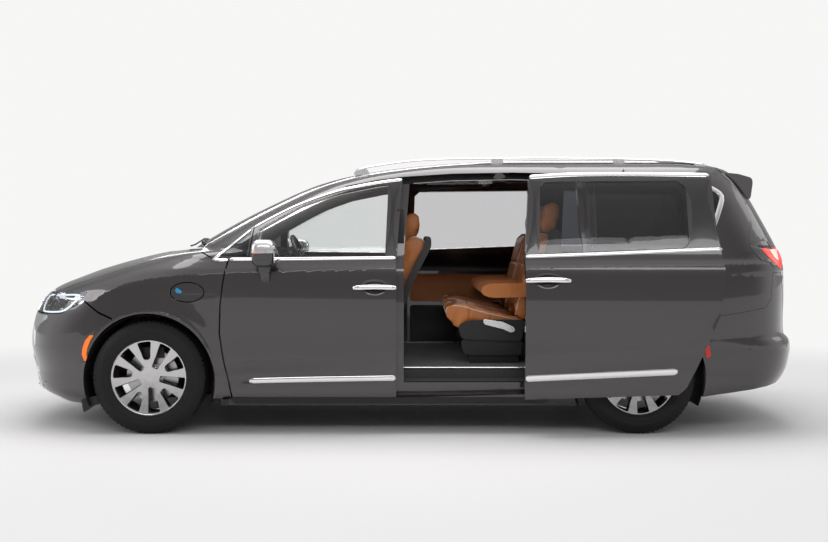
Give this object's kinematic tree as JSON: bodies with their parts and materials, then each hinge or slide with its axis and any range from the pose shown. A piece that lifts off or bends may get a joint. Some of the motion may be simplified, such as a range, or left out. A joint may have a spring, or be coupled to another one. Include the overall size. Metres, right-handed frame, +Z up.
{
  "type": "minivan",
  "caption": "Three-row minivan with the left sliding door open; front doors, hood, tailgate and charging lid hinge, the wheels roll and the front pair steers.",
  "frame": {"origin": "on the ground under the middle of the overall length and width", "axes": "+X towards the nose, +Y to the left, +Z up"},
  "size_m": [5.177, 2.3, 1.7695],
  "materials": {
    "body_paint": "dark metallic grey clear-coated paint",
    "clear_glass": "clear laminated glass",
    "tinted_glass": "dark privacy glass",
    "lamp_clear": "clear lamp lens",
    "lamp_red": "red lamp lens",
    "tyre": "matt black tyre rubber",
    "alloy": "machined and painted alloy",
    "satin_rail": "satin anodised rail",
    "chrome_trim": "bright chrome",
    "gloss_black": "gloss black",
    "cabin_plastic": "grained black plastic",
    "tan_leather": "tan leather with light piping",
    "carpet": "black carpet",
    "underbody": "black underbody coating",
    "engine_alloy": "cast alloy",
    "chassis_iron": "black painted iron",
    "exhaust_steel": "dull steel"
  },
  "bodies": {
    "root": {"body_side_left": "body_paint", "body_side_right": "body_paint", "roof_panel": "body_paint", "floor_pan": "carpet", "bulkhead": "underbody", "cowl": "underbody", "front_fenders": "body_paint", "front_bumper": "body_paint", "grille": "gloss_black", "headlamps": "lamp_clear", "windscreen": "clear_glass", "rear_bumper": "body_paint", "tail_lamps": "lamp_red", "sliding_door_left": "body_paint", "sliding_door_right": "body_paint", "sliding_door_glass": "tinted_glass", "fixed_side_glass": "tinted_glass", "roof_rails": "satin_rail", "dashboard": "cabin_plastic", "console": "cabin_plastic", "front_seats": "tan_leather", "middle_seats": "tan_leather", "rear_bench": "tan_leather", "engine": "engine_alloy", "front_subframe": "chassis_iron", "rear_axle": "chassis_iron", "battery_pack": "underbody", "exhaust": "exhaust_steel"},
    "front_door_left": {"front_door_left": "body_paint", "front_door_glass_left": "clear_glass", "mirror_left": "gloss_black"},
    "front_door_right": {"front_door_right": "body_paint", "front_door_glass_right": "clear_glass", "mirror_right": "gloss_black"},
    "hood": {"hood": "body_paint"},
    "tailgate": {"tailgate": "body_paint", "tailgate_glass": "tinted_glass"},
    "charge_port_door": {"charge_port_door": "body_paint"},
    "knuckle_left": {"knuckle_left": "chassis_iron"},
    "knuckle_right": {"knuckle_right": "chassis_iron"},
    "wheel_front_left": {"tyre_front_left": "tyre", "rim_front_left": "alloy"},
    "wheel_front_right": {"tyre_front_right": "tyre", "rim_front_right": "alloy"},
    "wheel_rear_left": {"tyre_rear_left": "tyre", "rim_rear_left": "alloy"},
    "wheel_rear_right": {"tyre_rear_right": "tyre", "rim_rear_right": "alloy"},
    "steering_wheel": {"steering_wheel": "cabin_plastic"}
  },
  "joints": [
    {"name": "front_door_left_hinge", "type": "hinge", "parent": "root", "child": "front_door_left", "pos_m": [1.163, 1.008, 0.7], "axis": [0, 0, -1], "range_deg": [0, 70]},
    {"name": "front_door_right_hinge", "type": "hinge", "parent": "root", "child": "front_door_right", "pos_m": [1.163, -1.008, 0.7], "axis": [0, 0, 1], "range_deg": [0, 70]},
    {"name": "hood_hinge", "type": "hinge", "parent": "root", "child": "hood", "pos_m": [1.395, 0, 1.162], "axis": [0, -1, 0], "range_deg": [0, 55]},
    {"name": "tailgate_hinge", "type": "hinge", "parent": "root", "child": "tailgate", "pos_m": [-2.04, 0, 1.725], "axis": [0, 1, 0], "range_deg": [0, 80]},
    {"name": "charge_port_hinge", "type": "hinge", "parent": "root", "child": "charge_port_door", "pos_m": [1.472, 1.0005, 0.898], "axis": [0, 0, -1], "range_deg": [0, 95]},
    {"name": "steer_left", "type": "hinge", "parent": "root", "child": "knuckle_left", "pos_m": [1.6185, 0.8175, 0.215], "axis": [0, -0.2531, 0.9674], "range_deg": [-35, 35]},
    {"name": "steer_right", "type": "hinge", "parent": "root", "child": "knuckle_right", "pos_m": [1.6185, -0.8175, 0.215], "axis": [0, 0.2531, 0.9674], "range_deg": [-35, 35]},
    {"name": "steering_wheel_turn", "type": "hinge", "parent": "root", "child": "steering_wheel", "pos_m": [0.7, 0.39, 1.09], "axis": [-0.9063, 0, 0.4226], "range_deg": [-540, 540]},
    {"name": "wheel_front_left_spin", "type": "hinge", "parent": "knuckle_left", "child": "wheel_front_left", "pos_m": [1.6185, 0.8675, 0.358], "axis": [0, 1, 0], "continuous": true},
    {"name": "wheel_rear_left_spin", "type": "hinge", "parent": "root", "child": "wheel_rear_left", "pos_m": [-1.4705, 0.8675, 0.358], "axis": [0, 1, 0], "continuous": true},
    {"name": "wheel_front_right_spin", "type": "hinge", "parent": "knuckle_right", "child": "wheel_front_right", "pos_m": [1.6185, -0.8675, 0.358], "axis": [0, 1, 0], "continuous": true},
    {"name": "wheel_rear_right_spin", "type": "hinge", "parent": "root", "child": "wheel_rear_right", "pos_m": [-1.4705, -0.8675, 0.358], "axis": [0, 1, 0], "continuous": true}
  ],
  "couplings": [
    {"joint": "steer_right", "follows": "steer_left", "ratio": 1},
    {"joint": "steering_wheel_turn", "follows": "steer_left", "ratio": 15}
  ]
}
